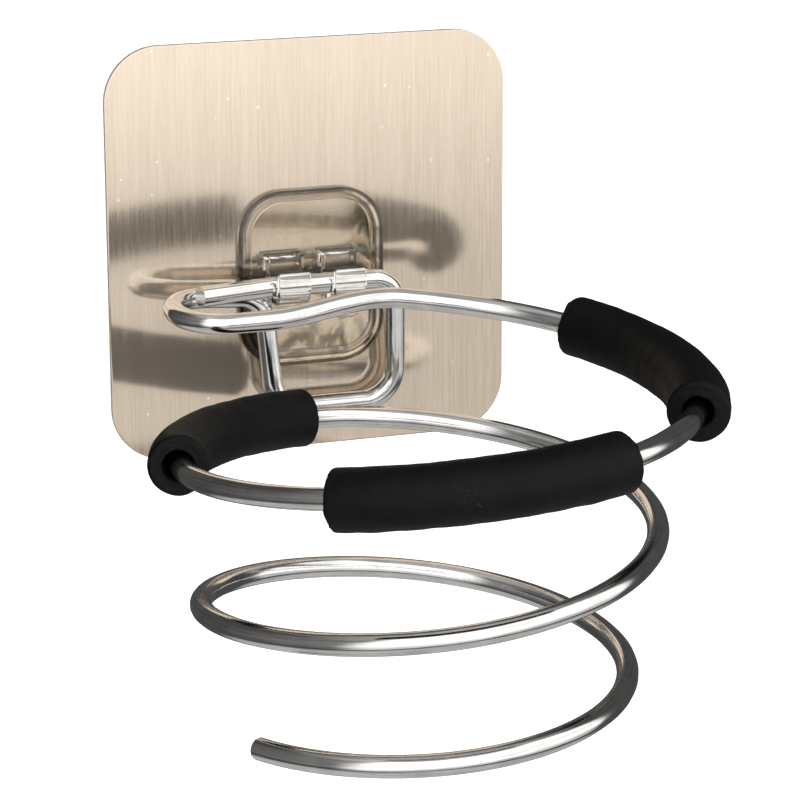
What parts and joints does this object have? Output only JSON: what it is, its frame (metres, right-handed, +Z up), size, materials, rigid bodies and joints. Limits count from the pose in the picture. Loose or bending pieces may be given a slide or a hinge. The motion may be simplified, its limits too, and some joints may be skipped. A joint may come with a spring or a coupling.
{
  "type": "hair dryer holder",
  "caption": "Wall holder for a hair dryer: square adhesive plate, clear hook moulding and a bent wire rack with a padded ring and an open spiral cradle.",
  "frame": {"origin": "centre of the adhesive gel's back face, which lies on the wall", "axes": "+Z up, +Y into the wall (the holder stands out towards -Y), +X to the right for someone facing the wall"},
  "size_m": [0.1259, 0.146, 0.1391],
  "materials": {
    "adhesive_gel": "translucent tacky gel",
    "brushed_champagne": "champagne metallised sheet, brushed upright, clear coat",
    "clear_glue": "clear cured glue with fine bubbles",
    "clear_plastic": "clear polished moulding",
    "chrome_wire": "polished stainless wire, faint drawing marks",
    "black_foam": "matte black closed-cell foam, open cells at the cut ends"
  },
  "bodies": {
    "wall_plate": {"adhesive_gel": "adhesive_gel", "brushed_plate": "brushed_champagne", "glue_film": "clear_glue", "hook_moulding": "clear_plastic"},
    "rack": {"wire_rack": "chrome_wire"},
    "sleeve_right": {"foam_sleeve_right": "black_foam"},
    "sleeve_front": {"foam_sleeve_front": "black_foam"},
    "sleeve_left": {"foam_sleeve_left": "black_foam"}
  },
  "joints": [
    {"name": "rack_swing", "type": "hinge", "parent": "wall_plate", "child": "rack", "pos_m": [0, -0.0094, -0.0079], "axis": [-1, 0, 0], "range_deg": [0, 80]},
    {"name": "sleeve_right_slide", "type": "hinge", "parent": "rack", "child": "sleeve_right", "pos_m": [0.00215, -0.08262, -0.01387], "axis": [0.0548, -0.0842, 0.9949], "range_deg": [-10, 10]},
    {"name": "sleeve_front_slide", "type": "hinge", "parent": "rack", "child": "sleeve_front", "pos_m": [0.00262, -0.08214, -0.02547], "axis": [-0.0767, 0.0559, 0.9955], "range_deg": [-10, 10]},
    {"name": "sleeve_left_slide", "type": "hinge", "parent": "rack", "child": "sleeve_left", "pos_m": [0.00256, -0.0826, -0.03392], "axis": [0.0555, 0.0481, 0.9973], "range_deg": [-10, 10]}
  ]
}
